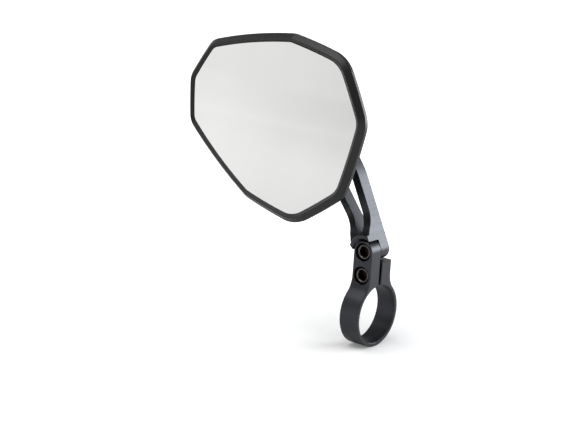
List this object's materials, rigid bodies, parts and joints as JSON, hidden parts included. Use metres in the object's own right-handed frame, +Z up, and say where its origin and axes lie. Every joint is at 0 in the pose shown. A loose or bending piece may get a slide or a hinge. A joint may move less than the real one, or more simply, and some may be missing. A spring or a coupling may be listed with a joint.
{
  "type": "bar end mirror",
  "caption": "Motorcycle bar end mirror: faceted black head with convex glass on a ball joint, carried by a forked dark grey arm that swings on a split bar clamp.",
  "frame": {"origin": "centre of the clamp's bore, halfway along it", "axes": "+X along the bar the clamp grips; -Y to the front, where the glass and the screw heads face; +Z up along the clamp's ears"},
  "size_m": [0.1312, 0.0479, 0.1713],
  "materials": {
    "anodised_aluminium": "satin",
    "black_oxide_steel": "satin",
    "spring_steel": "satin",
    "plated_steel": "satin",
    "nylon_liner": "satin",
    "moulded_nylon": "satin",
    "backing_plastic": "matte",
    "foam_rubber": "matte",
    "silvered_glass": "polished"
  },
  "bodies": {
    "clamp": {"bar_clamp": "anodised_aluminium", "pinch_screw": "black_oxide_steel", "pinch_washer": "black_oxide_steel"},
    "arm": {"mirror_arm": "anodised_aluminium", "pivot_screw": "black_oxide_steel", "pivot_spring_washer": "spring_steel", "pivot_friction_washer": "nylon_liner", "ball_stud": "plated_steel", "stud_washer": "plated_steel", "stud_nut": "plated_steel"},
    "seat": {"rear_ball_seat": "nylon_liner", "front_ball_seat": "nylon_liner"},
    "head": {"mirror_housing": "moulded_nylon", "mirror_glass": "silvered_glass", "glass_pad": "foam_rubber", "glass_backing": "backing_plastic", "seat_retainer": "plated_steel", "retainer_screws": "black_oxide_steel"}
  },
  "joints": [
    {"name": "arm_pivot", "type": "hinge", "parent": "clamp", "child": "arm", "pos_m": [0, 0, 0.0366], "axis": [0, 1, 0], "range_deg": [-25, 90]},
    {"name": "head_pan", "type": "hinge", "parent": "arm", "child": "seat", "pos_m": [-0.04246, -0.0109, 0.09874], "axis": [0, 0, 1], "range_deg": [-15, 15]},
    {"name": "head_tilt", "type": "hinge", "parent": "seat", "child": "head", "pos_m": [-0.04246, -0.0109, 0.09874], "axis": [1, 0, 0], "range_deg": [-15, 15]}
  ]
}
